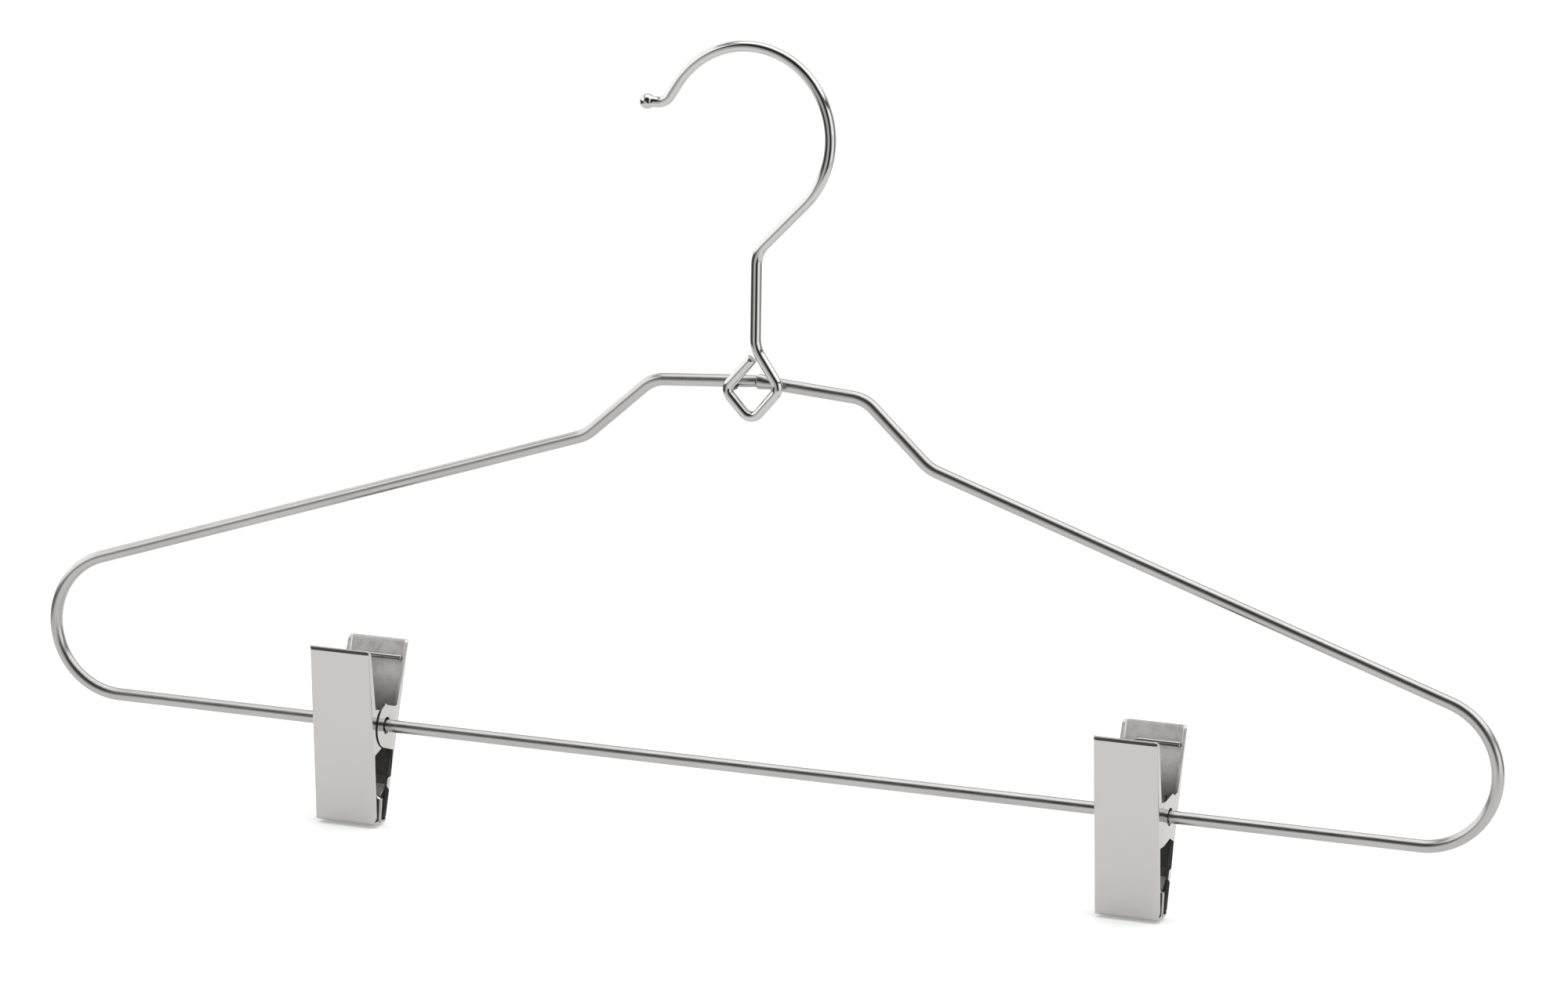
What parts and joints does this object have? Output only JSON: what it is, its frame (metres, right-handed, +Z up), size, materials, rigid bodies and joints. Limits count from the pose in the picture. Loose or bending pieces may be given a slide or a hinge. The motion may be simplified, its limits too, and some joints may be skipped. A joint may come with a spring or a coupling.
{
  "type": "clip hanger",
  "caption": "Metal clothes hanger with a welded wire frame, a round hook and sprung clips that slide, swing and open on its bar",
  "frame": {"origin": "the hook's seat: the lowest point of the inside of the bow's top, where a rail carries the hanger", "axes": "+X runs along the bar to the right as seen from the front, -Y is the front on which the hook is welded, +Z is up"},
  "size_m": [0.42, 0.0307, 0.2265],
  "materials": {
    "satin_nickel": "satin nickel plating over drawn wire",
    "bright_chrome": "mirror-bright chrome plating",
    "spring_steel": "bright plated spring wire"
  },
  "bodies": {
    "hanger": {"frame_wire": "satin_nickel", "hook": "bright_chrome"},
    "left_spring": {"spring_left": "spring_steel"},
    "left_front_jaw": {"front_jaw_left": "bright_chrome"},
    "left_rear_jaw": {"rear_jaw_left": "bright_chrome"},
    "right_spring": {"spring_right": "spring_steel"},
    "right_front_jaw": {"front_jaw_right": "bright_chrome"},
    "right_rear_jaw": {"rear_jaw_right": "bright_chrome"}
  },
  "joints": [
    {"name": "left_clip_slide", "type": "slide", "parent": "hanger", "child": "left_spring", "axis": [1, 0, 0], "range_m": [-0.0643, 0.1057]},
    {"name": "left_clip_swing", "type": "hinge", "parent": "left_spring", "child": "left_front_jaw", "pos_m": [-0.1114, 0.00355, -0.1956], "axis": [1, 0, 0], "continuous": true, "deforming": ["spring_left"]},
    {"name": "left_clip_open", "type": "hinge", "parent": "left_front_jaw", "child": "left_rear_jaw", "pos_m": [-0.1114, 0.00355, -0.1956], "axis": [1, 0, 0], "range_deg": [0, 38], "stiffness_Nm_per_rad": 0.2, "springref_deg": -57.3, "deforming": ["spring_left"]},
    {"name": "right_clip_slide", "type": "slide", "parent": "hanger", "child": "right_spring", "axis": [1, 0, 0], "range_m": [-0.1008, 0.0692]},
    {"name": "right_clip_swing", "type": "hinge", "parent": "right_spring", "child": "right_front_jaw", "pos_m": [0.1151, 0.00355, -0.1956], "axis": [1, 0, 0], "continuous": true, "deforming": ["spring_right"]},
    {"name": "right_clip_open", "type": "hinge", "parent": "right_front_jaw", "child": "right_rear_jaw", "pos_m": [0.1151, 0.00355, -0.1956], "axis": [1, 0, 0], "range_deg": [0, 38], "stiffness_Nm_per_rad": 0.2, "springref_deg": -57.3, "deforming": ["spring_right"]}
  ]
}
